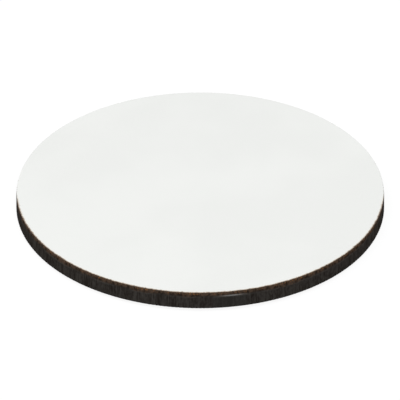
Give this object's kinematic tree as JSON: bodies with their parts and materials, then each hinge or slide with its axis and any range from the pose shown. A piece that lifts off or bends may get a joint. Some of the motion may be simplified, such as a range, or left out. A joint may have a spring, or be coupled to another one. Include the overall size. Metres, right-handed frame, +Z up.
{
  "type": "drink coaster",
  "caption": "Round flat drink coaster: a white-faced fibreboard disc with a dark laser-cut edge, on a thin cork pad that grips the table.",
  "frame": {"origin": "middle of the cork pad's underside, where the coaster meets the table", "axes": "+Z up through the layers, out of the white face; +X to the right and -Y towards the viewer in the picture"},
  "size_m": [0.1, 0.1, 0.0059],
  "materials": {
    "cork": "matte",
    "adhesive": "satin",
    "charred_fibreboard": "satin",
    "white_facing": "satin",
    "clear_coat": "satin"
  },
  "bodies": {
    "root": {"cork_pad": "cork", "adhesive_film": "adhesive", "fibreboard_disc": "charred_fibreboard", "white_face_sheet": "white_facing", "clear_print_coat": "clear_coat"}
  },
  "joints": []
}
